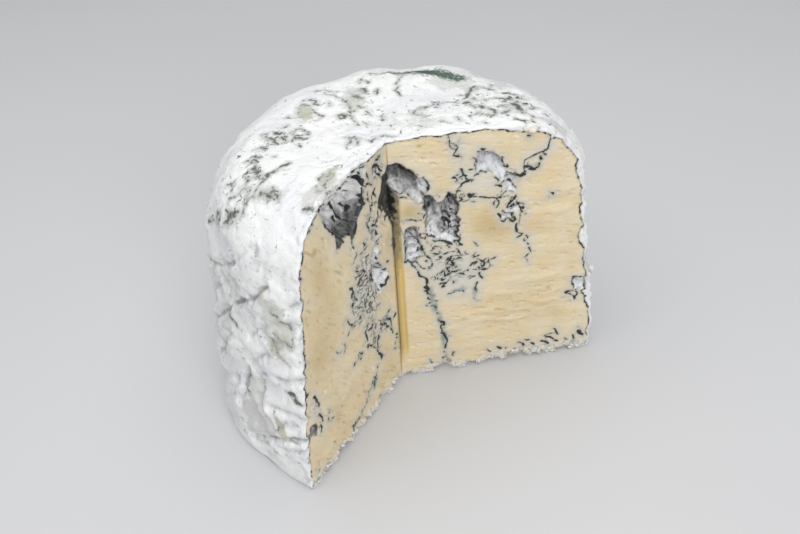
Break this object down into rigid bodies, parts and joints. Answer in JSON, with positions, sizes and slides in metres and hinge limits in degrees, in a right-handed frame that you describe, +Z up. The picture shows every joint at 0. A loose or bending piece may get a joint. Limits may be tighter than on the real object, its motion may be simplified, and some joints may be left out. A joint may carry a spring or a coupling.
{
  "type": "cut blue cheese wheel",
  "caption": "Tall round white-rinded blue cheese with a broad wedge cut out, its two cut faces showing pale paste, dark blue-green veins and open mouldy hollows.",
  "frame": {"origin": "on the wheel's own upright axis, in the plane that the cheese stands on", "axes": "+Z up; +X along the right cut face, away from the corner where the two cuts meet; the opening that the wedge left faces -Y"},
  "size_m": [0.1473, 0.1344, 0.1082],
  "materials": {
    "rind": "dry chalky mould rind, white with grey-green patches",
    "paste": "moist semi-matt cheese paste, ivory to straw yellow, with blue-grey mould"
  },
  "bodies": {
    "root": {"cheese": "rind"}
  },
  "joints": []
}
